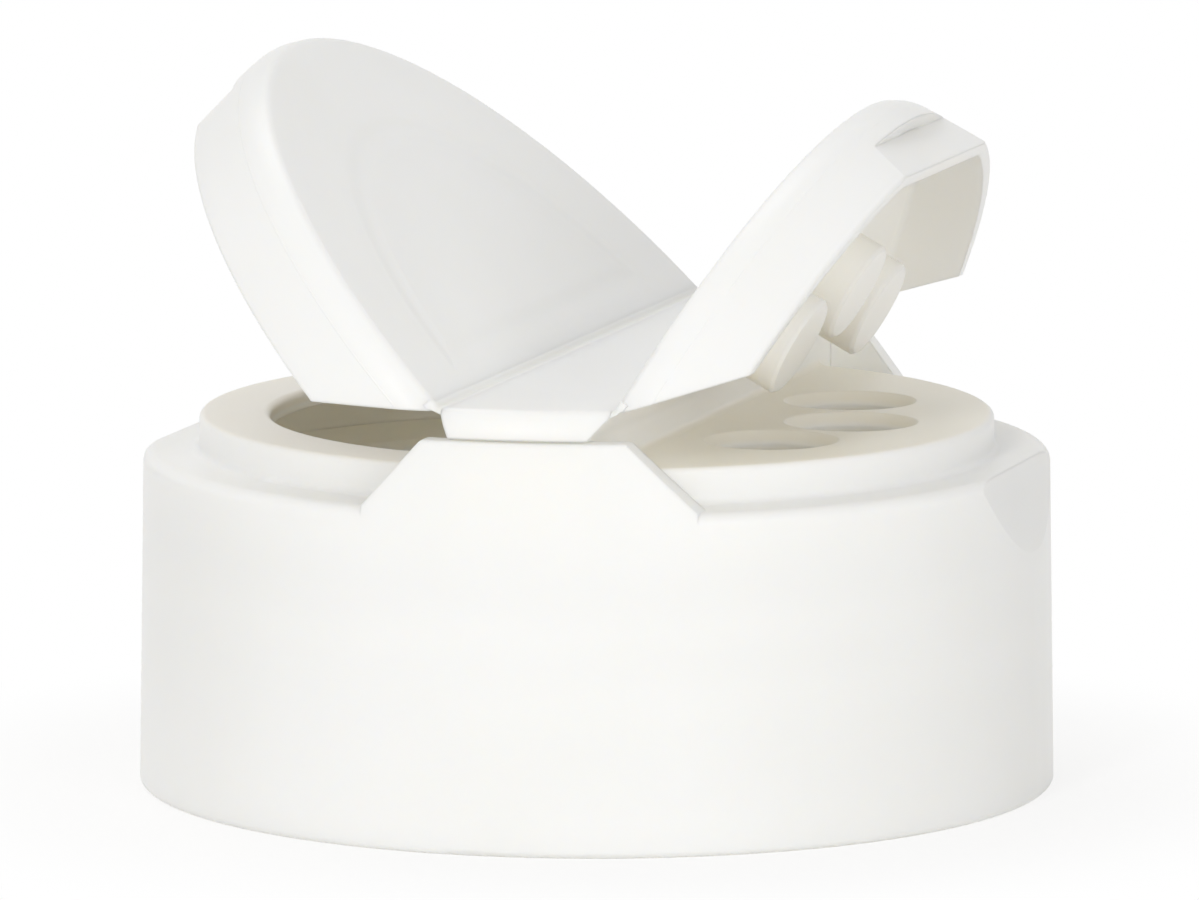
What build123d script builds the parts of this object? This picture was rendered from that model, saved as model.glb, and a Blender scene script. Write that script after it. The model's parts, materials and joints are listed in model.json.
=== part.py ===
from build123d import *
import math
import os

# Twin flap spice jar closure, modelled with both flaps open. Millimetres.
# Origin: centre of the skirt's bottom rim. +Z up, hinges along Y, front toward -Y.
# The pour flap is on the -X side and the sift flap on the +X side.

# ---- driving dimensions ----
SKIRT_R = 33.3  # outside radius at the bottom rim
SKIRT_DRAFT = 0.016  # radius lost per mm of height
SKIRT_T = 1.7
SKIRT_IN_R = SKIRT_R - SKIRT_T
BAND_T = 0.65  # the inside wall steps in by this above the thread
BAND_R = SKIRT_IN_R - BAND_T
BAND_FOOT_Z = 19.7
BAND_SLOPE_Z = 20.7
LEDGE_Z = 24.35  # top of the skirt, where the flap rims rest
LEDGE_T = 1.5
LEDGE_W = 4.45
BOSS_R = SKIRT_R - LEDGE_W  # outside radius of the raised deck
BOSS_T = 1.5
DECK_Z = 27.0
DECK_T = 1.4
TOP_Z = 31.55  # top of the bridge and of the closed flaps

BRIDGE_X = 4.5  # the bridge is off centre, toward the sift side
HINGE_HALF = 6.15  # each hinge line is this far from BRIDGE_X
BRIDGE_WAIST = 4.8  # half width below the hinge grooves
BRIDGE_LEAN = 0.4  # the waist is this far nearer the pour side than the top
WAIST_X = BRIDGE_X - BRIDGE_LEAN
WAIST_ROUND = 1.2
BRIDGE_SET_BACK = 0.75  # the bridge's ends sit just inside the pads' faces
BRIDGE_END_R = SKIRT_R - BRIDGE_SET_BACK
BRIDGE_WALL = 1.4
BRIDGE_ROOT = 0.8  # the bridge's walls spread by this onto the deck
SLIT_HEIGHT = 0.15  # slit along the foot of the bridge's ends
SLIT_DEPTH = 0.5

PAD_Z = 29.35
PAD_TOP_HALF = 7.2
PAD_FOOT_HALF = 11.87
PAD_T = 2.0
PAD_ROOT_R = SKIRT_R - PAD_T
PAD_ROUND = 0.5

FLAP_SET_BACK = 0.5  # the flaps' rims sit this far inside the skirt
FLAP_RIM_R = SKIRT_R - FLAP_SET_BACK
FLAP_LEAN = 0.25  # the flap walls lean out by this toward their rims
FLAP_TOP_R = FLAP_RIM_R - FLAP_LEAN
FLAP_PLATE_T = 1.35
FLAP_WALL_T = 1.15
FLAP_RIM_Z = 24.7  # closed, the rims stop just above the ledge
FLAP_FOOT_HALF = 13.05  # half width between the flaps' lower corners
FLAP_FOOT_ROUND = 0.9
CROWN_W = 0.8  # sloping band round the top edge of the flaps and the bridge
CROWN_H = 1.35
CROWN_TOP_ROUND = 0.7
CROWN_SIDE_ROUND = 3.0
POUR_ANGLE = 46.0  # opening of the pour flap as modelled, degrees
SIFT_ANGLE = 61.8  # opening of the sift flap as modelled, degrees

WEB_T = 0.4  # thickness of the living hinges
WEB_HALF = 0.2  # half width of a living hinge
WEB_END = 1.2  # the living hinges stop this far inside the flaps' top edge
HINGE_LIP = 0.15  # the flaps are this much thicker than the web beside it

NOTCH_DEPTH = 1.75
NOTCH_X = FLAP_RIM_R - NOTCH_DEPTH  # foot of the thumb notches' sloping face
NOTCH_HEIGHT = 3.4
NOTCH_SLOPE = 0.1  # the notch face leans out by this per mm of height
NOTCH_BACK_T = 1.0
SCOOP_DEPTH = 1.8
SCOOP_X = SKIRT_R - SCOOP_DEPTH  # top of the sloping scoops in the skirt
SCOOP_FOOT_Z = 18.2  # where the scoops run out

POUR_RIM_W = 5.15  # deck left between the pour opening and the boss's edge
POUR_R = BOSS_R - POUR_RIM_W
POUR_EDGE_X = -4.0  # straight side of the pour opening
POUR_CORNER = 3.0
POUR_LIP_ROUND = 0.5
RIB_GAP = 0.3
RIB_T = 1.2
RIB_FOOT_Z = 26.0
RIB_TAPER = 3.0

SIFT_HOLES = [(19.2, 0.0), (16.2, -10.15), (16.2, 10.15)]
HOLE_R = 4.0
HOLE_MOUTH_R = 4.87
HOLE_MOUTH_DEPTH = 0.9
PLUG_GAP = 0.2
PLUG_R = HOLE_R - PLUG_GAP
PLUG_FOOT_Z = 25.7
PLUG_LEAD = 0.25

THREAD_PITCH = 5.08
THREAD_DEPTH = 1.1
THREAD_CREST_R = SKIRT_IN_R - THREAD_DEPTH
THREAD_ROOT_W = 2.6
THREAD_CREST_W = 1.0
THREAD_TURNS = 1.5
THREAD_FOOT_Z = 10.5
THREAD_START = 270.0  # the thread starts at the front, degrees round Z

SEAL_INSET = 1.25
SEAL_R = BAND_R - SEAL_INSET  # ring under the ledge that presses on the jar's mouth
SEAL_H = 0.5
SEAL_W = 1.0

EDGE_ROUND = 0.45
LEDGE_ROUND = 0.9
ROOT_ROUND = 0.5
RIM_ROUND = 0.25
REACH = 40.0  # longer than any half of the closure
OVERLAP = 0.6  # how far joined shapes run into each other


def skirt_r(z):
    return SKIRT_R - SKIRT_DRAFT * z


def section(points, rounds=()):
    """A face in the XZ plane, with the corners named in rounds filleted."""
    outline = make_face(Polyline(*points, close=True))
    if outline.face().normal_at().Z < 0:
        outline = make_face(Polyline(*reversed(points), close=True))
    for corner, radius in rounds:
        vertex = outline.vertices().sort_by_distance(Vector(*points[corner]))[0]
        outline = fillet(vertex, radius)
    return Plane.XZ * outline


def turned(points, rounds=()):
    return revolve(section(points, rounds), Axis.Z)


def prism(points, half_length, rounds=()):
    return extrude(section(points, rounds), half_length, both=True)


def cylinder_between(radius, z_low, z_high):
    return Pos(0, 0, z_low) * extrude(Circle(radius), z_high - z_low)


def crown(radius):
    """The two corners of the sloping band round the top edge of a wall of this radius."""
    return [(radius - CROWN_W, TOP_Z), (radius, TOP_Z - CROWN_H)]


def shell():
    """Skirt, ledge, boss and deck as one turned wall."""
    inner_r = BOSS_R - BOSS_T
    points = [
        (SKIRT_IN_R, 0),
        (SKIRT_R, 0),
        (skirt_r(LEDGE_Z), LEDGE_Z),
        (BOSS_R, LEDGE_Z),
        (BOSS_R, DECK_Z),
        (0, DECK_Z),
        (0, DECK_Z - DECK_T),
        (inner_r, DECK_Z - DECK_T),
        (inner_r, LEDGE_Z - LEDGE_T),
        (BAND_R, LEDGE_Z - LEDGE_T),
        (BAND_R, BAND_SLOPE_Z),
        (SKIRT_IN_R, BAND_FOOT_Z),
    ]
    rounds = [(1, EDGE_ROUND), (2, LEDGE_ROUND), (3, ROOT_ROUND), (4, EDGE_ROUND)]
    return turned(points, rounds)


def pads():
    """The two trapezoid pads under the bridge's ends, flush with the skirt."""
    low = LEDGE_Z - LEDGE_ROUND
    trapezoid = [
        (BRIDGE_X - PAD_FOOT_HALF, low),
        (BRIDGE_X + PAD_FOOT_HALF, low),
        (BRIDGE_X + PAD_FOOT_HALF, LEDGE_Z),
        (BRIDGE_X + PAD_TOP_HALF, PAD_Z),
        (BRIDGE_X - PAD_TOP_HALF, PAD_Z),
        (BRIDGE_X - PAD_FOOT_HALF, LEDGE_Z),
    ]
    ring = [(PAD_ROOT_R, low), (skirt_r(low), low), (skirt_r(PAD_Z), PAD_Z), (PAD_ROOT_R, PAD_Z)]
    rounds = [(3, PAD_ROUND), (4, PAD_ROUND)]
    return prism(trapezoid, REACH, rounds) & turned(ring, [(2, RIM_ROUND)])


def bridge():
    """The fixed bar between the two hinges, grooved under both of its edges."""
    edge = HINGE_HALF - WEB_HALF
    foot = DECK_Z - OVERLAP
    bar = [
        (BRIDGE_X - edge, TOP_Z),
        (BRIDGE_X - edge, TOP_Z - WEB_T),
        (WAIST_X - BRIDGE_WAIST, PAD_Z),
        (WAIST_X - BRIDGE_WAIST, foot),
        (WAIST_X + BRIDGE_WAIST, foot),
        (WAIST_X + BRIDGE_WAIST, PAD_Z),
        (BRIDGE_X + edge, TOP_Z - WEB_T),
        (BRIDGE_X + edge, TOP_Z),
    ]
    disc = [(0, foot), (BRIDGE_END_R, foot), *reversed(crown(BRIDGE_END_R)), (0, TOP_Z)]
    waist_rounds = [(2, WAIST_ROUND), (5, WAIST_ROUND)]
    crown_rounds = [(2, CROWN_SIDE_ROUND), (3, CROWN_TOP_ROUND)]
    return prism(bar, REACH, waist_rounds) & turned(disc, crown_rounds)


def bridge_root(side):
    """The hollow curve where one wall of the bridge runs out onto the deck."""
    wall_x = WAIST_X + side * BRIDGE_WAIST
    buried = wall_x - side * OVERLAP
    toe = wall_x + side * BRIDGE_ROOT
    low = DECK_Z - OVERLAP
    high = DECK_Z + BRIDGE_ROOT
    points = [(buried, low), (toe, low), (toe, DECK_Z), (wall_x, DECK_Z), (wall_x, high)]
    points.append((buried, high))
    curve = prism(points, REACH, [(3, BRIDGE_ROOT - RIM_ROUND)])
    return curve & cylinder_between(BOSS_R - EDGE_ROUND, low, high)


def bridge_slit():
    """A fine slit along the foot of the bridge's ends, just above the pads."""
    inner_r = BRIDGE_END_R - SLIT_DEPTH
    high = PAD_Z + SLIT_HEIGHT
    return turned([(inner_r, PAD_Z), (REACH, PAD_Z), (REACH, high), (inner_r, high)])


def bridge_feet():
    """The bridge's ends carried down to the ledge, between the boss and the pads."""
    width = 2 * BRIDGE_WAIST
    block = Pos(WAIST_X, 0, LEDGE_Z) * Box(width, 2 * REACH, 2 * (PAD_Z - LEDGE_Z - OVERLAP))
    low = LEDGE_Z - OVERLAP
    ring = [(BOSS_R - OVERLAP, low), (PAD_ROOT_R + OVERLAP, low)]
    ring += [(PAD_ROOT_R + OVERLAP, PAD_Z), (BOSS_R - OVERLAP, PAD_Z)]
    return block & turned(ring)


def bridge_core():
    """The hollow under the bridge, open to the inside of the closure."""
    low = DECK_Z - DECK_T - OVERLAP
    high = TOP_Z - BRIDGE_WALL
    half_length = BOSS_R - BOSS_T - BRIDGE_WALL
    core = Box(2 * (BRIDGE_WAIST - BRIDGE_WALL), 2 * half_length, high - low)
    return Pos(WAIST_X, 0, (low + high) / 2) * core


def pour_outline(gap):
    """The D shape of the pour opening, drawn smaller all round by gap."""
    side = POUR_EDGE_X - gap
    corner_y = math.sqrt((POUR_R - gap) ** 2 - side**2)
    disc = make_face(
        Polyline((side, corner_y), (side, -corner_y))
        + ThreePointArc((side, -corner_y), (gap - POUR_R, 0), (side, corner_y))
    )
    return fillet(disc.vertices(), POUR_CORNER - gap)


def pour_cut():
    low = DECK_Z - DECK_T - OVERLAP
    return Pos(0, 0, low) * extrude(pour_outline(0), DECK_T + 2 * OVERLAP)


def deck_with_pour_opening():
    """The turned wall with the pour opening, whose upper edge is rounded."""
    wall = shell() - pour_cut()
    deck = wall.faces().sort_by(Axis.Z)[-1]
    return fillet(deck.inner_wires().edges(), POUR_LIP_ROUND)


def sift_cuts():
    """Three round holes, each with a wide conical mouth."""
    mouth = [
        (0, DECK_Z + OVERLAP),
        (0, DECK_Z - DECK_T - OVERLAP),
        (HOLE_R, DECK_Z - DECK_T - OVERLAP),
        (HOLE_R, DECK_Z - HOLE_MOUTH_DEPTH),
        (HOLE_MOUTH_R, DECK_Z),
        (HOLE_MOUTH_R, DECK_Z + OVERLAP),
    ]
    one = turned(mouth)
    return [Pos(x, y, 0) * one for x, y in SIFT_HOLES]


def thread():
    """A single start jar thread inside the skirt, with a true cylinder as its crest."""
    height = THREAD_PITCH * THREAD_TURNS
    helix = Helix(THREAD_PITCH, height, SKIRT_IN_R)
    path = Pos(0, 0, THREAD_FOOT_Z) * Rot(0, 0, THREAD_START) * helix
    inward = -Vector((path @ 0).X, (path @ 0).Y, 0)
    depth = SKIRT_IN_R - THREAD_CREST_R
    lean = (THREAD_ROOT_W - THREAD_CREST_W) / 2 / depth * OVERLAP
    root = THREAD_ROOT_W / 2 + lean
    crest = THREAD_CREST_W / 2 - lean / 2
    profile = Plane(origin=path @ 0, x_dir=inward, z_dir=path % 0) * make_face(
        Polyline(
            (-OVERLAP, -root),
            (depth + OVERLAP / 2, -crest),
            (depth + OVERLAP / 2, crest),
            (-OVERLAP, root),
            close=True,
        )
    )
    ridge = sweep(profile, path=path, is_frenet=True)
    low = THREAD_FOOT_Z - THREAD_ROOT_W
    high = THREAD_FOOT_Z + height + THREAD_ROOT_W
    band = cylinder_between(SKIRT_IN_R + OVERLAP / 2, low, high)
    return ridge & (band - cylinder_between(THREAD_CREST_R, low, high))


def seal_ring():
    """A low ridge under the ledge."""
    top = LEDGE_Z - LEDGE_T
    ridge = [
        (SEAL_R - SEAL_W / 2, top + OVERLAP),
        (SEAL_R - SEAL_W / 2, top),
        (SEAL_R, top - SEAL_H),
        (SEAL_R + SEAL_W / 2, top),
        (SEAL_R + SEAL_W / 2, top + OVERLAP),
    ]
    return turned(ridge)


def scoop_cut():
    """The sloping flat under a thumb notch, on the sift side."""
    slope = (skirt_r(SCOOP_FOOT_Z) - SCOOP_X) / (LEDGE_Z - SCOOP_FOOT_Z)
    top = DECK_Z
    low = SCOOP_FOOT_Z - OVERLAP
    points = [
        (SCOOP_X - slope * (top - LEDGE_Z), top),
        (SCOOP_X + slope * (LEDGE_Z - low), low),
        (REACH, low),
        (REACH, top),
    ]
    return prism(points, SKIRT_R / 2)


def closure_body():
    body = deck_with_pour_opening() + pads() + bridge() + bridge_feet()
    body += [bridge_root(-1), bridge_root(1), seal_ring(), thread()]
    body -= bridge_core() + bridge_slit()
    for cut in sift_cuts():
        body -= cut
    scoop = scoop_cut()
    body -= scoop
    body -= mirror(scoop, Plane.YZ)
    return body


def notch_face(height):
    """Distance of the thumb notch's sloping face from the axis, at a height above the rim."""
    return NOTCH_X + NOTCH_SLOPE * height


def notch_cut(side):
    """The thumb notch in a closed flap's wall, under the lip of its plate."""
    high = FLAP_RIM_Z + NOTCH_HEIGHT
    points = [
        (side * notch_face(-OVERLAP), FLAP_RIM_Z - OVERLAP),
        (side * REACH, FLAP_RIM_Z - OVERLAP),
        (side * REACH, high),
        (side * notch_face(NOTCH_HEIGHT), high),
    ]
    return prism(points, REACH)


def notch_backing(side, inner_r):
    """The flat wall behind the notch, where the round wall is cut right through."""
    height = TOP_Z - FLAP_PLATE_T + OVERLAP - FLAP_RIM_Z
    foot = notch_face(0)
    head = notch_face(height)
    points = [
        (side * (foot - NOTCH_BACK_T), FLAP_RIM_Z),
        (side * foot, FLAP_RIM_Z),
        (side * head, FLAP_RIM_Z + height),
        (side * (head - NOTCH_BACK_T), FLAP_RIM_Z + height),
    ]
    mid_r = inner_r + FLAP_WALL_T / 2
    return prism(points, REACH) & cylinder_between(mid_r, FLAP_RIM_Z, TOP_Z)


def flap_lid(hinge_x, side):
    """One closed flap without its plugs. side is -1 for the pour side and 1 for the sift side."""
    plate_z = TOP_Z - FLAP_PLATE_T
    inner_r = FLAP_TOP_R - FLAP_WALL_T
    cup = [
        (0, TOP_Z),
        *crown(FLAP_TOP_R),
        (FLAP_RIM_R, FLAP_RIM_Z),
        (FLAP_RIM_R - FLAP_WALL_T, FLAP_RIM_Z),
        (inner_r, plate_z),
        (0, plate_z),
    ]
    rounds = [(1, CROWN_TOP_ROUND), (2, CROWN_SIDE_ROUND)]
    rounds += [(3, RIM_ROUND), (5, ROOT_ROUND)]
    edge_x = hinge_x + side * WEB_HALF
    foot_x = BRIDGE_X + side * FLAP_FOOT_HALF
    low = FLAP_RIM_Z - RIM_ROUND
    keep = [
        (edge_x, TOP_Z),
        (edge_x, TOP_Z - WEB_T - HINGE_LIP),
        (foot_x, low),
        (side * REACH, low),
        (side * REACH, TOP_Z),
    ]
    lid = turned(cup, rounds) & prism(keep, REACH, [(2, FLAP_FOOT_ROUND)])
    return lid + notch_backing(side, inner_r) - notch_cut(side)


def pour_rib():
    """The D shaped wall under the pour flap that plugs the opening."""
    height = TOP_Z - FLAP_PLATE_T - RIB_FOOT_Z
    start = Pos(0, 0, TOP_Z - FLAP_PLATE_T)
    outer = start * extrude(pour_outline(RIB_GAP), -height, taper=RIB_TAPER)
    inner = start * extrude(pour_outline(RIB_GAP + RIB_T), -height, taper=RIB_TAPER)
    root = start * extrude(pour_outline(RIB_GAP), OVERLAP)
    inner_root = start * extrude(pour_outline(RIB_GAP + RIB_T), OVERLAP)
    return outer - inner + (root - inner_root)


def sift_plugs():
    """Three round plugs under the sift flap, each with a chamfered tip."""
    top = TOP_Z - FLAP_PLATE_T + OVERLAP
    plug = [
        (0, top),
        (0, PLUG_FOOT_Z),
        (PLUG_R - PLUG_LEAD, PLUG_FOOT_Z),
        (PLUG_R, PLUG_FOOT_Z + PLUG_LEAD),
        (PLUG_R, top),
    ]
    one = turned(plug)
    return [Pos(x, y, 0) * one for x, y in SIFT_HOLES]


def opened(closed, hinge_x, degrees):
    return closed.rotate(Axis((hinge_x, 0, TOP_Z), (0, 1, 0)), degrees)


def pour_flap():
    hinge_x = BRIDGE_X - HINGE_HALF
    return opened(flap_lid(hinge_x, -1) + pour_rib(), hinge_x, POUR_ANGLE)


def sift_flap():
    hinge_x = BRIDGE_X + HINGE_HALF
    flap = flap_lid(hinge_x, 1)
    for plug in sift_plugs():
        flap += plug
    return opened(flap, hinge_x, -SIFT_ANGLE)


def hinge_web(side, degrees):
    """A thin bent strip from the bridge's edge to a flap's edge."""
    hinge_x = BRIDGE_X + side * HINGE_HALF
    turn = math.radians(degrees)
    half = turn / 2
    reach = WEB_T / math.cos(half)

    def on_flap(out, down):
        x = hinge_x + side * (out * math.cos(turn) + down * math.sin(turn))
        return (x, TOP_Z + out * math.sin(turn) - down * math.cos(turn))

    strip = [
        (hinge_x, TOP_Z),
        on_flap(WEB_HALF, 0),
        on_flap(WEB_HALF, WEB_T),
        (hinge_x + side * reach * math.sin(half), TOP_Z - reach * math.cos(half)),
        (hinge_x - side * WEB_HALF, TOP_Z - WEB_T),
        (hinge_x - side * WEB_HALF, TOP_Z),
    ]
    half_length = math.sqrt(FLAP_TOP_R**2 - hinge_x**2) - WEB_END
    return prism(strip, half_length)


pieces = {
    "closure_body": closure_body(),
    "pour_flap": pour_flap(),
    "sift_flap": sift_flap(),
    "pour_hinge_web": hinge_web(-1, POUR_ANGLE),
    "sift_hinge_web": hinge_web(1, SIFT_ANGLE),
}

os.makedirs("parts", exist_ok=True)
for name, shape in pieces.items():
    print(name, len(shape.solids()), "solids", round(shape.volume, 2), "mm3")
    export_step(shape, f"parts/{name}.step")
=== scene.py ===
# %% [markdown]
# # A twin flap spice jar closure
# The closure is one white polypropylene moulding: a low screw skirt, a raised deck with a
# large pour opening and three sift holes, a fixed bridge, and two flaps on thin living
# hinges. The CAD frame already has every rigid form, so this notebook lights it, gives each
# region the finish of moulded plastic, and makes the two flexing hinges as bending skins.

# %% Load the frame
import json
import math

import bpy
import numpy as np
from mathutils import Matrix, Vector


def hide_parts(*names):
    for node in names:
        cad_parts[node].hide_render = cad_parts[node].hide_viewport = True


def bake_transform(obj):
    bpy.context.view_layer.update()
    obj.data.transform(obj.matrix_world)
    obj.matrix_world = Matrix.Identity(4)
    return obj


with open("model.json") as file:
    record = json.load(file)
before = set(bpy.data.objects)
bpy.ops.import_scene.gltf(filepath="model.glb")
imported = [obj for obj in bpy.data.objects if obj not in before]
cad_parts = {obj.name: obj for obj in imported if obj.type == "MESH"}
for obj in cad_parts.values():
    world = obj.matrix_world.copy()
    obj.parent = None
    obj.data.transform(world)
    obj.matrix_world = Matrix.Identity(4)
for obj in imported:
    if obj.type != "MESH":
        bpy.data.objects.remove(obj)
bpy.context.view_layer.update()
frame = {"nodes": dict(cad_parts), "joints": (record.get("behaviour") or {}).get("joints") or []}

MM = 0.001  # the frame is in metres

# %% [markdown]
# ## The camera
# A small object on a product table is shot from far off with a long lens, so its circles
# stay nearly round and its height isn't stretched. The camera stands a little to the right
# of the front and a little above the deck.

# %% Place the camera
CAMERA_AT = Vector((251.05, -800.57, 150.23)) * MM
CAMERA_AIM = Vector((0.21, 0.0, 24.07)) * MM
CAMERA_LENS = 350.7  # millimetres, as on a lens
SENSOR_WIDTH = 36.0
NEAREST_SEEN = 50 * MM
FARTHEST_SEEN = 20000 * MM

camera_data = bpy.data.cameras.new("camera")
camera_data.lens = CAMERA_LENS
camera_data.sensor_width = SENSOR_WIDTH
camera_data.clip_start = NEAREST_SEEN
camera_data.clip_end = FARTHEST_SEEN
camera = bpy.data.objects.new("camera", camera_data)
camera.location = CAMERA_AT
camera.rotation_mode = "QUATERNION"
camera.rotation_quaternion = (CAMERA_AIM - CAMERA_AT).to_track_quat("-Z", "Y")
bpy.context.scene.collection.objects.link(camera)
bpy.context.scene.camera = camera
bpy.context.scene.view_settings.view_transform = "Standard"
print("camera distance in mm:", round((CAMERA_AIM - CAMERA_AT).length / MM))

# %% [markdown]
# ## Writing shaders as expressions
# A node tree is easier to read as a formula. `Wire` holds one output socket, and its
# operators add Math nodes, so `1 - mask` works.


# %% A socket that does arithmetic
class Wire:
    """One output socket. Arithmetic on it adds a Math node to the same tree."""

    def __init__(self, shader, socket):
        self.shader = shader
        self.socket = socket

    def _math(self, operation, first, second):
        return self.shader.node("ShaderNodeMath", {"operation": operation}, {0: first, 1: second})

    def __add__(self, other):
        return self._math("ADD", self, other)

    def __radd__(self, other):
        return self._math("ADD", other, self)

    def __sub__(self, other):
        return self._math("SUBTRACT", self, other)

    def __rsub__(self, other):
        return self._math("SUBTRACT", other, self)

    def __mul__(self, other):
        return self._math("MULTIPLY", self, other)

    def __rmul__(self, other):
        return self._math("MULTIPLY", other, self)

    def maximum(self, other):
        return self._math("MAXIMUM", self, other)

    def minimum(self, other):
        return self._math("MINIMUM", self, other)

    def absolute(self):
        return self._math("ABSOLUTE", self, 0.0)


# %% [markdown]
# ### A tree to put nodes in
# `Shader.node` makes any node from its type, its settings and what its sockets get. The few
# that come back again and again have a short name of their own: the point on the object,
# noise, an eased ramp and a mix of two colours.


# %% A shader that makes its nodes in one way
class Shader:
    """A material's or world's node tree, emptied and ready to fill."""

    def __init__(self, owner):
        owner.use_nodes = True
        self.tree = owner.node_tree
        self.tree.nodes.clear()

    def node(self, kind, settings=None, inputs=None, out=0):
        """Adds one node: settings first, then a value or a Wire for each socket."""
        made = self.tree.nodes.new(kind)
        for name, value in (settings or {}).items():
            setattr(made, name, value)
        for name, value in (inputs or {}).items():
            if isinstance(value, Wire):
                self.tree.links.new(value.socket, made.inputs[name])
            else:
                made.inputs[name].default_value = value
        return Wire(self, made.outputs[out]) if made.outputs else made

    def object_point(self):
        """Where on the object a point lies, in the object's own frame."""
        return self.node("ShaderNodeTexCoord", out="Object")

    def noise(self, point, scale):
        """Smooth noise between 0 and 1 with features about 1/scale metres wide."""
        return self.node("ShaderNodeTexNoise", {}, {"Vector": point, "Scale": scale})

    def ramp(self, value, low, high):
        """0 at low, 1 at high, eased at both ends."""
        inputs = {"Value": value, "From Min": low, "From Max": high}
        settings = {"interpolation_type": "SMOOTHSTEP"}
        return self.node("ShaderNodeMapRange", settings, inputs)

    def mix_colour(self, factor, first, second):
        """The first colour where factor is 0, the second where it is 1."""
        inputs = {0: factor, 6: first, 7: second}
        return self.node("ShaderNodeMix", {"data_type": "RGBA"}, inputs, out=2)


# %% [markdown]
# ## Moulded white polypropylene
# The real plastic is milky rather than painted: light enters it, wanders some millimetres,
# turns slightly warm and comes out again, also on the far side of a thin wall. That is partly
# why the inside of the closure glows cream instead of going black; the rest of that glow is
# painted light in the inside's colour, further down. The surface copies a satin polished
# mould, so it has a very fine orange peel, faint flow clouds where the melt met, and edges
# broken by a quarter of a millimetre. The Bevel node rounds those edges in the shading alone,
# which leaves the CAD mesh as it is. The shine seen head on is kept low, because the satin
# finish scatters it.

# %% The plastic's values
PLASTIC_WHITE = (0.938, 0.934, 0.910, 1.0)
PLASTIC_CLOUD = (0.924, 0.919, 0.892, 1.0)
CLOUD_SCALE = 55.0
CLOUD_FROM = 0.35
CLOUD_FULL = 0.70
SATIN_SCALE = 160.0
SATIN_HEIGHT = 0.006 * MM
SATIN_ROUGHNESS = 0.30
SATIN_SPREAD = 0.08
PEEL_SCALE = 1400.0
PEEL_HEIGHT = 0.0012 * MM
EDGE_BREAK = 0.25 * MM
EDGE_SAMPLES = 3
PLASTIC_IOR = 1.49
HEAD_ON_SHINE = 0.18
MILKINESS = 0.4
SCATTER = 3.0 * MM
SCATTER_TINT = (1.0, 0.88, 0.70)
print("light wanders about", round(SCATTER / MM, 1), "mm inside the plastic")


# %% The plastic's recipe
def plastic(name, painted_shading=(), relief=None, edge=EDGE_BREAK, scatter=SCATTER):
    """White polypropylene in one shader.

    Each pair given to colour the plastic is mask(shader, point), which gives 0 to 1, and the
    colour that the plastic takes where the mask is 1; each of those colours is painted light or
    painted shade. relief(shader, point) gives a height in metres.
    """
    material = bpy.data.materials.new(name)
    shader = Shader(material)
    point = shader.object_point()
    clouds = shader.ramp(shader.noise(point, CLOUD_SCALE), CLOUD_FROM, CLOUD_FULL)
    colour = shader.mix_colour(clouds, PLASTIC_WHITE, PLASTIC_CLOUD)
    # Each colour mixed in here is painted light or painted shade.
    for mask, tint in painted_shading:
        colour = shader.mix_colour(mask(shader, point), colour, tint)
    satin = shader.noise(point, SATIN_SCALE)
    peel = shader.noise(point, PEEL_SCALE) * PEEL_HEIGHT
    height = peel + satin * SATIN_HEIGHT
    if relief is not None:
        height = height + relief(shader, point)
    rounded = shader.node("ShaderNodeBevel", {"samples": EDGE_SAMPLES}, {"Radius": edge})
    normal = shader.node(
        "ShaderNodeBump", {}, {"Distance": 1.0, "Height": height, "Normal": rounded}
    )
    surface = shader.node(
        "ShaderNodeBsdfPrincipled",
        {},
        {
            "Base Color": colour,
            "Roughness": SATIN_ROUGHNESS + SATIN_SPREAD * satin,
            "Normal": normal,
            "IOR": PLASTIC_IOR,
            "Specular IOR Level": HEAD_ON_SHINE,
            "Subsurface Weight": MILKINESS,
            "Subsurface Radius": SCATTER_TINT,
            "Subsurface Scale": scatter,
        },
    )
    shader.node("ShaderNodeOutputMaterial", {}, {"Surface": surface})
    print("made material", name)
    return material


def dress(node, material):
    """Puts one material on every slot of a CAD node."""
    slots = frame["nodes"][node].data.materials
    slots.clear()
    slots.append(material)


# %% [markdown]
# ## Painted shade and painted light on the body
# Over the dark inside of the jar the deck is only one and a half millimetres thick, and its
# colour is made darker and warmer as painted shade for the light that goes through it and
# never comes back. On the pour side, where X is below zero, the deck gets a darker painted
# shade still. Below the deck the colour is made paler and warmer as painted light, for the
# light that has come through a wall or bounced many times. Masks worked out from the distance
# to the axis, the height and the side say where those places are. Painting a picture of them
# would need the mesh unwrapped, while a mask needs only the sizes of the closure itself.

# %% Measures that the masks use
MASK_EDGE = 0.3 * MM


def axis_distance(shader, point):
    """Length of the point's X and Y parts: the distance from the thread's axis."""
    flat = shader.node(
        "ShaderNodeVectorMath", {"operation": "MULTIPLY"}, {0: point, 1: (1.0, 1.0, 0.0)}
    )
    return shader.node("ShaderNodeVectorMath", {"operation": "LENGTH"}, {0: flat}, out="Value")


def part_of(shader, point, axis):
    """The point's X, Y or Z."""
    return shader.node("ShaderNodeSeparateXYZ", {}, {0: point}, out=axis)


def below(shader, value, limit):
    """1 under the limit, 0 over it, with a soft edge."""
    return 1.0 - shader.ramp(value, limit - MASK_EDGE, limit + MASK_EDGE)


print("masks fade over", round(2 * MASK_EDGE / MM, 1), "mm")

# %% Masks for the body, with sizes in the closure's own frame
# Painted warm shade on the deck.
DECK_PAINTED_SHADE = (0.935, 0.890, 0.790, 1.0)
# Darker painted shade on the deck's pour side.
POUR_SIDE_PAINTED_SHADE = (0.860, 0.825, 0.755, 1.0)
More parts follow.
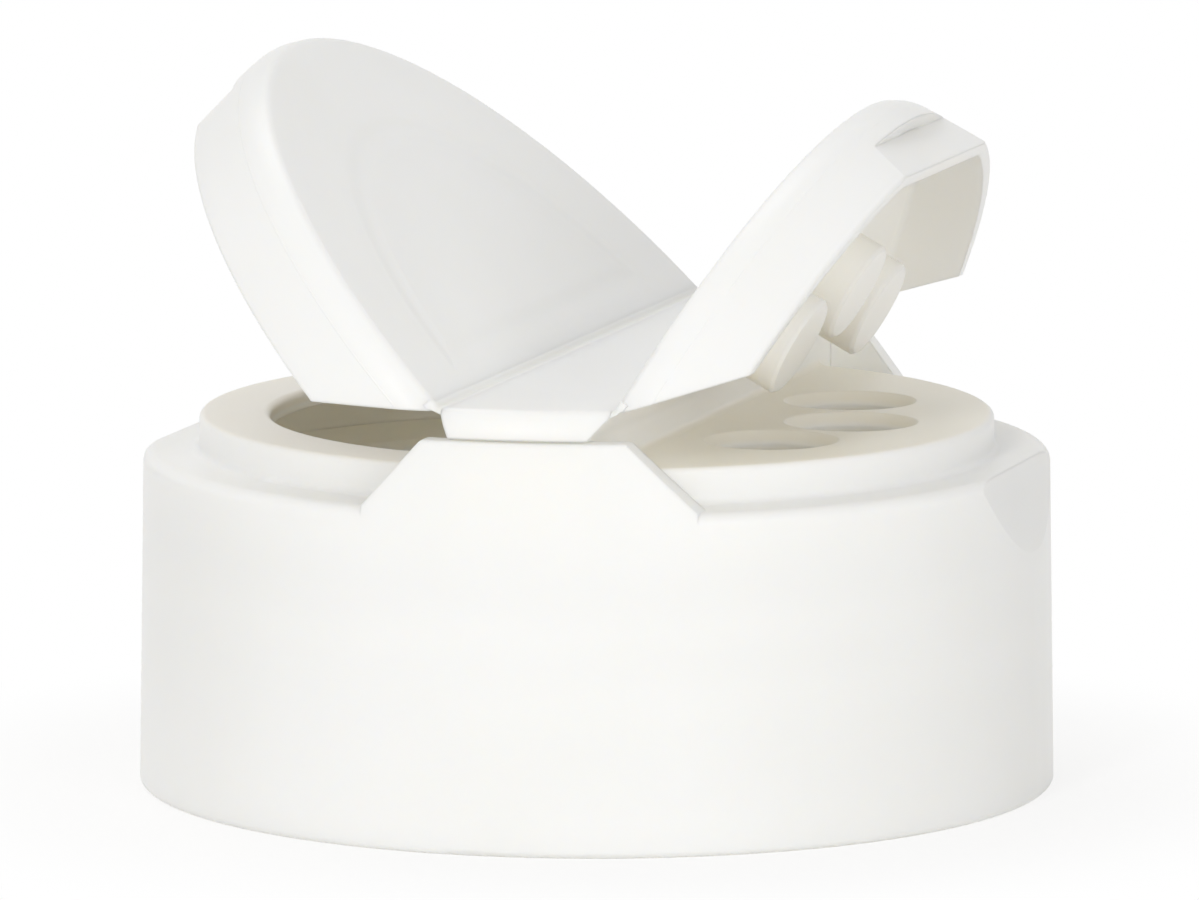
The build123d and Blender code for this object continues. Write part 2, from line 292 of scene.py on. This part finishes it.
# Painted warm light on the walls inside the skirt and the boss.
INSIDE_PAINTED_LIGHT = (0.998, 0.966, 0.872, 1.0)
DECK_R = 28.6 * MM
DECK_LOW = 26.2 * MM
DECK_HIGH = 27.3 * MM
BOSS_INSIDE_R = 27.6 * MM
BOSS_INSIDE_TOP = 25.9 * MM
SKIRT_INSIDE_R = 31.4 * MM
SKIRT_INSIDE_TOP = 23.1 * MM


# Where the deck's painted shade goes.
def deck_shade_mask(shader, point):
    """The flat deck: near the axis, between two heights."""
    height = part_of(shader, point, "Z")
    flat = below(shader, axis_distance(shader, point), DECK_R)
    return flat * below(shader, height, DECK_HIGH) * (1.0 - below(shader, height, DECK_LOW))


# Where the pour side's darker painted shade goes.
def pour_side_shade_mask(shader, point):
    """The deck's pour side: the deck where X is below zero."""
    return deck_shade_mask(shader, point) * below(shader, part_of(shader, point, "X"), 0.0)


# Where the inside's painted warm light goes.
def inside_light_mask(shader, point):
    """Every wall within the skirt or within the boss: whichever of the two says so."""
    height = part_of(shader, point, "Z")
    away = axis_distance(shader, point)
    skirt = below(shader, away, SKIRT_INSIDE_R) * below(shader, height, SKIRT_INSIDE_TOP)
    boss = below(shader, away, BOSS_INSIDE_R) * below(shader, height, BOSS_INSIDE_TOP)
    return skirt.maximum(boss)


# The body's painted shade and painted light, mask by mask.
body_painted_shading = ((deck_shade_mask, DECK_PAINTED_SHADE), (pour_side_shade_mask, POUR_SIDE_PAINTED_SHADE), (inside_light_mask, INSIDE_PAINTED_LIGHT))
dress("closure_body", plastic("polypropylene_body", painted_shading=body_painted_shading))

# %% [markdown]
# ## Flaps, turned back to where they were moulded
# Lines on a flap are easiest to say in its closed position, where its wall is round about
# the thread's axis. A Mapping node turns each point back about the hinge by the flap's
# opening, and everything else is measured from there.

# %% Read the hinges
joints = {joint["name"]: joint for joint in frame["joints"]}
pour_pin = Vector(joints["pour_hinge"]["pos_m"])
sift_pin = Vector(joints["sift_hinge"]["pos_m"])
pour_open = -math.radians(joints["pour_hinge"]["range_deg"][0])
sift_open = -math.radians(joints["sift_hinge"]["range_deg"][0])
print("flaps open by", round(math.degrees(pour_open), 1), round(math.degrees(sift_open), 1))


def turned_back(shader, point, pin, turn):
    """The point's place when the flap is closed: minus the pin, turned about Y, plus the pin."""
    moved = shader.node("ShaderNodeVectorMath", {"operation": "SUBTRACT"}, {0: point, 1: pin})
    turned = shader.node("ShaderNodeMapping", {}, {"Vector": moved, "Rotation": (0.0, turn, 0.0)})
    return shader.node("ShaderNodeVectorMath", {"operation": "ADD"}, {0: turned, 1: pin})


def pour_closed(shader, point):
    """The point's place under the pour flap when that is shut."""
    return turned_back(shader, point, pour_pin, -pour_open)


def sift_closed(shader, point):
    """The point's place under the sift flap when that is shut."""
    return turned_back(shader, point, sift_pin, sift_open)


# %% [markdown]
# ### Traces of the mould
# Under the pour flap a D shaped wall plugs the opening. Where such a wall meets a thin
# plate, the plastic cools last and pulls the face in by about a tenth of a millimetre. Round
# both flaps runs the fine line where two parts of the mould met. Both are far too shallow
# to change the outline, so they are heights for the Bump node instead of mesh.

# %% The sink line and the mould's line
RIB_ROUND_R = 22.8 * MM
RIB_STRAIGHT_X = -4.9 * MM
SINK_HALF = 1.4 * MM
SINK_DEPTH = 0.11 * MM
PARTING_Z = 29.35 * MM
PARTING_HALF = 0.10 * MM
PARTING_RISE = 0.02 * MM
FLAP_WALL_R = 31.9 * MM
WEAR_SCALE = 420.0
WEAR_FROM = 0.42
WEAR_FULL = 0.58


def rib_sink(shader, closed):
    """A shallow line over the D shaped rib: depth falls off smoothly from its middle."""
    round_part = axis_distance(shader, closed) - RIB_ROUND_R
    straight_part = part_of(shader, closed, "X") - RIB_STRAIGHT_X
    outline = round_part.maximum(straight_part)
    near = 1.0 - shader.ramp(outline.absolute(), 0.0, SINK_HALF)
    return near * -SINK_DEPTH


def mould_line(shader, closed):
    """A hair of plastic standing out round the wall at one height."""
    away = (part_of(shader, closed, "Z") - PARTING_Z).absolute()
    outer = shader.ramp(axis_distance(shader, closed), FLAP_WALL_R - MASK_EDGE, FLAP_WALL_R)
    return (1.0 - shader.ramp(away, 0.0, PARTING_HALF)) * outer * PARTING_RISE


def pour_relief(shader, point):
    """Both lines together."""
    closed = pour_closed(shader, point)
    return rib_sink(shader, closed) + mould_line(shader, closed)


def sift_relief(shader, point):
    """On this flap the line comes and goes, so noise switches it on in places."""
    worn = shader.ramp(shader.noise(point, WEAR_SCALE), WEAR_FROM, WEAR_FULL)
    return mould_line(shader, sift_closed(shader, point)) * worn


print("the sink is", round(SINK_DEPTH / MM, 2), "mm deep")

# %% [markdown]
# ### Painted light on the inside of a flap
# The inside of a flap is lit through its own thin plate, and that warm light is painted into
# its colour, a little creamier than the outside. Closed, it is all that lies under the plate
# and within the wall.

# %% The inside, and both flaps finished
# Painted warm light on a flap's inside, for light that comes through its plate.
CUP_PAINTED_LIGHT = (0.955, 0.940, 0.893, 1.0)
CUP_R = 31.2 * MM
CUP_Z = 30.4 * MM


def cup_light_mask(shader, closed):
    """The inside of a flap: under its plate and within its wall."""
    near = below(shader, axis_distance(shader, closed), CUP_R)
    return near * below(shader, part_of(shader, closed, "Z"), CUP_Z)


def pour_cup_light(shader, point):
    """The inside of the pour flap, at any opening."""
    return cup_light_mask(shader, pour_closed(shader, point))


def sift_cup_light(shader, point):
    """The inside of the sift flap, at any opening."""
    return cup_light_mask(shader, sift_closed(shader, point))


pour_plastic = plastic(
    "polypropylene_pour_flap", painted_shading=((pour_cup_light, CUP_PAINTED_LIGHT),), relief=pour_relief
)
sift_plastic = plastic(
    "polypropylene_sift_flap", painted_shading=((sift_cup_light, CUP_PAINTED_LIGHT),), relief=sift_relief
)
dress("pour_flap", pour_plastic)
dress("sift_flap", sift_plastic)

# %% [markdown]
# ## The living hinges
# Each hinge is a strip of the same plastic, thinned to under half a millimetre so that it
# bends for years. Its top is a soft hollow curve that runs out flat onto the bridge and onto
# the flap, with a fine coined groove along its middle, and its ends are crowned like the
# edges on both sides. Such a skin is a profile carried along a path: the profile is a plate
# edge on, long in Y with two crowned ends, and the path is the bend from the bridge to the
# flap. A Bevel modifier or a bent strip could do nearly the same, but a formula keeps the
# thickness right and the ends crowned. At both ends of the path the skin dips a hair under
# the rigid faces, so no seam shows.

# %% The path: straight, a circular arc, straight again
BEND_REACH = 0.30 * MM
PATH_HALF = 0.85 * MM
PATH_STEPS = 33
GROOVE_DEPTH = 0.025 * MM
GROOVE_HALF = 0.16 * MM
SWELL = 0.006 * MM
DIP = 0.035 * MM


def bend_radius(opening):
    """The reach over the tangent of half the opening."""
    return BEND_REACH / math.tan(opening / 2)


def bend_path(opening):
    """Place, direction and lift of each step of the bend, from the hinge's axis.

    The arc touches the bridge's line and the flap's line at BEND_REACH from the axis. A
    step's turn is its way along the arc over the radius, held between 0 and the opening, and
    what is left over goes on straight. Share runs from -1 at the bridge to 1 at the flap. The
    lift is a small swell that drops to the dip with the fourth power of the share, less the
    groove, which is a bell curve round the middle.
    """
    radius = bend_radius(opening)
    way = np.linspace(-PATH_HALF, PATH_HALF, PATH_STEPS) + radius * opening / 2
    turn = np.clip(way / radius, 0.0, opening)
    rest = way - radius * turn
    x = -BEND_REACH + radius * np.sin(turn) + rest * np.cos(turn)
    z = radius * (1 - np.cos(turn)) + rest * np.sin(turn)
    share = np.linspace(-1.0, 1.0, PATH_STEPS)
    lift = SWELL - (SWELL + DIP) * share**4
    lift -= GROOVE_DEPTH * np.exp(-((share * PATH_HALF / GROOVE_HALF) ** 2))
    return x, z, turn, lift, share


for name, opening in (("pour hinge", pour_open), ("sift hinge", sift_open)):
    print(name, "bends on a radius of", round(bend_radius(opening) / MM, 2), "mm")

# %% [markdown]
# ### What is carried along the path
# The profile is the plate seen edge on. Its top and bottom are straight lines in Y, and its
# ends follow the crown that runs over both flaps and the bridge: a small arc off the top,
# then the sloping band.

# %% The profile: a long plate with crowned ends
CROWN_R = 32.55 * MM
CROWN_W = 0.80 * MM
CROWN_H = 1.35 * MM
CROWN_ROUND = 0.70 * MM
CROWN_SLOPE = math.atan2(CROWN_H, CROWN_W)
CROWN_STEPS = 7
LONG_STEPS = 13


def crowned_end(thickness):
    """Radius and depth down the plate's end: an arc off the top, then the sloping band."""
    start_r = CROWN_R - CROWN_W - CROWN_ROUND * math.tan(CROWN_SLOPE / 2)
    angle = np.linspace(0.0, CROWN_SLOPE, CROWN_STEPS)
    radius = start_r + CROWN_ROUND * np.sin(angle)
    depth = CROWN_ROUND * (1 - np.cos(angle))
    foot_depth = np.maximum(thickness, depth[-1])
    foot_r = CROWN_R - CROWN_W + foot_depth * CROWN_W / CROWN_H
    count = len(thickness)
    radius = np.column_stack([np.tile(radius, (count, 1)), foot_r])
    depth = np.column_stack([np.tile(depth, (count, 1)), foot_depth])
    return radius, depth


def plate_loop(pin_x, thickness, lift):
    """Y and depth of the closed profile, one row for each step of the path.

    Y at a corner is the square root of its radius squared less the hinge's distance from
    the axis squared. The top runs from front to back, the back end down, the bottom back to
    the front, and the front end up.
    """
    radius, depth = crowned_end(thickness)
    reach = np.sqrt((radius + lift[:, None]) ** 2 - pin_x**2)
    along = np.linspace(-1.0, 1.0, LONG_STEPS)
    top_y = along * reach[:, :1]
    low_y = -along * reach[:, -1:]
    y = np.hstack([top_y, reach[:, 1:-1], low_y, -reach[:, -2:0:-1]])
    flat = np.ones(LONG_STEPS)
    low = flat * depth[:, -1:]
    deep = np.hstack([flat * depth[:, :1], depth[:, 1:-1], low, depth[:, -2:0:-1]])
    return y, deep - lift[:, None]


print("the crown slopes down at", round(math.degrees(CROWN_SLOPE)), "degrees")

# %% [markdown]
# ### From numbers to a mesh
# The path's steps and the profile's corners together make a grid of points that closes on
# itself round the profile, like a sleeve. Both ends of the sleeve get one flat face each.
# The long edges stay crisp, because faces that meet at more than 50 degrees are not smoothed.

# %% A bending skin
WEB_THICKNESS = 0.40 * MM
WEB_FLARE = 0.25 * MM
SHARP_FROM = math.radians(50)


def hinge_skin(name, side, pin, opening):
    """Carries the plate's profile along the bend and closes both ends of the path.

    A point is the hinge's axis, plus the step's place, plus the depth along the step's own
    downward direction: sine of the turn in X, minus its cosine in Z. The skin grows thicker
    with the square of the way from its middle, up to halfway to each end. On the pour side X
    is mirrored, so its faces are written the other way round.
    """
    x, z, turn, lift, share = bend_path(opening)
    thickness = WEB_THICKNESS + WEB_FLARE * np.minimum(np.abs(share) * 2, 1.0) ** 2
    y, deep = plate_loop(pin.x, thickness, lift)
    steps, count = y.shape
    points = np.empty((steps, count, 3))
    points[:, :, 0] = pin.x + side * (x[:, None] + deep * np.sin(turn)[:, None])
    points[:, :, 1] = y
    points[:, :, 2] = pin.z + z[:, None] - deep * np.cos(turn)[:, None]
    row, col = np.meshgrid(np.arange(steps - 1), np.arange(count), indexing="ij")
    near = np.stack([row * count + col, row * count + (col + 1) % count], -1)
    quads = np.concatenate([near, near[:, :, ::-1] + count], -1).reshape(-1, 4)
    first_cap = np.arange(count)[::-1]
    last_cap = np.arange((steps - 1) * count, steps * count)
    faces = [face[::side].tolist() for face in (first_cap, last_cap)]
    faces += quads[:, ::side].tolist()
    mesh = bpy.data.meshes.new(name)
    mesh.from_pydata(points.reshape(-1, 3).tolist(), [], faces)
    mesh.shade_smooth()
    mesh.set_sharp_from_angle(angle=SHARP_FROM)
    piece = bpy.data.objects.new(name, mesh)
    bpy.context.scene.collection.objects.link(piece)
    print(name, "has", len(mesh.polygons), "faces")
    return piece


# %% [markdown]
# ### The hinges' finish
# Along the fold the skin's colour is a little greyer: a painted shade for the shade in the
# crease.

# %% The hinges' finish
# Painted shade along the crease of each hinge.
FOLD_PAINTED_SHADE = (0.840, 0.840, 0.805, 1.0)
FOLD_HALF = 0.45 * MM
WEB_EDGE = 0.06 * MM
WEB_SCATTER = 0.4 * MM


def fold_shade_mask(shader, point):
    """1 at either hinge's axis, where the crease's painted shade is strongest, and 0 from
    FOLD_HALF away.
    """
    pour_side = (part_of(shader, point, "X") - pour_pin.x).absolute()
    sift_side = (part_of(shader, point, "X") - sift_pin.x).absolute()
    return 1.0 - shader.ramp(pour_side.minimum(sift_side), 0.0, FOLD_HALF)


web_plastic = plastic(
    "polypropylene_hinge",
    painted_shading=((fold_shade_mask, FOLD_PAINTED_SHADE),),
    edge=WEB_EDGE,
    scatter=WEB_SCATTER,
)

# %% Make both hinges
WEBS = (
    ("pour_hinge_skin", "pour_hinge_web", "pour_lid", -1, pour_pin, pour_open),
    ("sift_hinge_skin", "sift_hinge_web", "sift_lid", 1, sift_pin, sift_open),
)
for name, node, lid, side, pin, opening in WEBS:
    skin = hinge_skin(name, side, pin, opening)
    skin.data.materials.append(web_plastic)
    across = Vector((side * math.cos(opening / 2), 0.0, math.sin(opening / 2)))
    across *= BEND_REACH * math.cos(opening / 2)
    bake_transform(skin)
    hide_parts(node)

# %% [markdown]
# ## The table
# The closure stands on a pale table that runs out into white. A round floor has no corners
# to hide, and its rings lie closest in the middle, under the shadow.

# %% The floor
FLOOR_RADIUS = 1.6
FLOOR_RINGS = 5
FLOOR_SIDES = 96


def disc_mesh(name, radius):
    """A flat disc: each point is a ring's radius turned by a share of the full circle.

    The rings' radii grow with the square of their number, and one face fills the innermost.
    """
    ring_r = radius * (np.arange(1, FLOOR_RINGS + 1) / FLOOR_RINGS) ** 2
    angle = np.linspace(0, 2 * np.pi, FLOOR_SIDES, endpoint=False)
    grid = np.zeros((FLOOR_RINGS, FLOOR_SIDES, 3))
    grid[:, :, 0] = ring_r[:, None] * np.cos(angle)
    grid[:, :, 1] = ring_r[:, None] * np.sin(angle)
    ring, spoke = np.meshgrid(np.arange(FLOOR_RINGS - 1), np.arange(FLOOR_SIDES), indexing="ij")
    after = (spoke + 1) % FLOOR_SIDES
    inner = ring * FLOOR_SIDES
    outer = inner + FLOOR_SIDES
    quads = np.stack([inner + spoke, outer + spoke, outer + after, inner + after], -1)
    faces = quads.reshape(-1, 4).tolist() + [list(range(FLOOR_SIDES))]
    mesh = bpy.data.meshes.new(name)
    mesh.from_pydata(grid.reshape(-1, 3).tolist(), [], faces)
    mesh.update()
    return mesh


floor = bpy.data.objects.new("floor", disc_mesh("floor", FLOOR_RADIUS))
bpy.context.scene.collection.objects.link(floor)
print("the floor has", len(floor.data.polygons), "faces")

# %% [markdown]
# ### White where it is looked at
# A plane with a white colour would turn grey wherever the lamps are weak. So the part that
# is looked at is mixed with plain white, while the light that the floor throws back into
# the closure still comes from its matt colour. Close by, the floor shows its true shading,
# where the soft contact shadow lies, and further off it fades to plain white. The Light
# Path node tells the rays that look from those that only carry light.


# %% Which rays look and which light
WHITE = (1.0, 1.0, 1.0, 1.0)
LOOKING_RAYS = ("Is Camera Ray", "Is Glossy Ray", "Is Transmission Ray")


def looked_at(shader):
    """1 for rays from the camera and for those seen in a reflection, 0 for light rays."""
    camera_ray, *others = (shader.node("ShaderNodeLightPath", out=ray) for ray in LOOKING_RAYS)
    for other in others:
        camera_ray = camera_ray.maximum(other)
    return camera_ray


print("white is shown to", len(LOOKING_RAYS), "kinds of ray")

# %% The floor's finish
FLOOR_COLOUR = (0.94, 0.93, 0.905, 1.0)
SHADOW_SHARE = 0.20
SHADOW_NEAR = 33 * MM
SHADOW_FAR = 60 * MM
floor_material = bpy.data.materials.new("pale_table")
table = Shader(floor_material)
distance = table.node(
    "ShaderNodeVectorMath", {"operation": "LENGTH"}, {0: table.object_point()}, out="Value"
)
near_share = 1.0 - SHADOW_SHARE * (1.0 - table.ramp(distance, SHADOW_NEAR, SHADOW_FAR))
matt = table.node("ShaderNodeBsdfDiffuse", {}, {"Color": FLOOR_COLOUR})
white = table.node("ShaderNodeEmission", {}, {"Color": WHITE, "Strength": 1.0})
blend = table.node(
    "ShaderNodeMixShader", {}, {0: looked_at(table) * near_share, 1: matt, 2: white}
)
table.node("ShaderNodeOutputMaterial", {}, {"Surface": blend})
floor.data.materials.append(floor_material)
print("the floor shows its shadow out to", round(SHADOW_FAR / MM), "mm")

# %% [markdown]
# ## The room
# A white room gives light from everywhere and is itself the background. Lit by its full
# white, pale plastic would lose its shapes. So the room is white where it is looked at, and
# only half as bright where it gives light.

# %% The world
WORLD_LEVEL = 0.51
world = bpy.data.worlds.new("studio")
bpy.context.scene.world = world
room = Shader(world)
level = WORLD_LEVEL + (1.0 - WORLD_LEVEL) * looked_at(room)
glow = room.node("ShaderNodeBackground", {}, {"Color": WHITE, "Strength": level})
room.node("ShaderNodeOutputWorld", {}, {"Surface": glow})
print("the room lights the closure at", WORLD_LEVEL)

# %% [markdown]
# ## The lamps
# One small lamp low at the front makes the upright walls the brightest and casts the sift
# flap's shadow onto the deck, with a higher one beside it that brings out the rounded edges.
# Three large and weak ones fill in: from above for the bridge and the pour flap's face, from
# the right for the plugs and the deck under the sift flap, and from the left.

# %% The soft lights
LIT_POINT = Vector((0.0, 0.0, 0.02))


def soft_light(name, at, size, power):
    """A square area light at one point, facing the closure: metres and watts."""
    data = bpy.data.lights.new(name, "AREA")
    data.size = size
    data.energy = power
    lamp = bpy.data.objects.new(name, data)
    lamp.location = at
    lamp.rotation_mode = "QUATERNION"
    lamp.rotation_quaternion = (LIT_POINT - Vector(at)).to_track_quat("-Z", "Y")
    bpy.context.scene.collection.objects.link(lamp)
    print(name, "gives", power, "W")


LAMPS = (
    ("front_key", (-0.070, -1.19, 0.522), 0.15, 3.2),
    ("high_key", (-0.080, -1.05, 0.78), 0.15, 1.0),
    ("top_softbox", (-0.40, 0.40, 1.05), 0.5, 2.4),
    ("right_softbox", (0.80, -0.85, 0.25), 0.5, 3.0),
    ("left_softbox", (-1.10, -0.30, 0.30), 0.8, 0.8),
)
for name, at, size, power in LAMPS:
    soft_light(name, at, size, power)

# %% [markdown]
# ## Enough bounces
# White walls pass light back and forth many times before it fades. Four diffuse bounces,
# which is what Cycles allows unless told otherwise, would leave the inside too dark.

# %% Let light bounce often enough
BOUNCES = 16
MATT_BOUNCES = 12
cycles = bpy.context.scene.cycles
cycles.max_bounces = BOUNCES
cycles.diffuse_bounces = MATT_BOUNCES
print("light may bounce", cycles.diffuse_bounces, "times between matt walls")
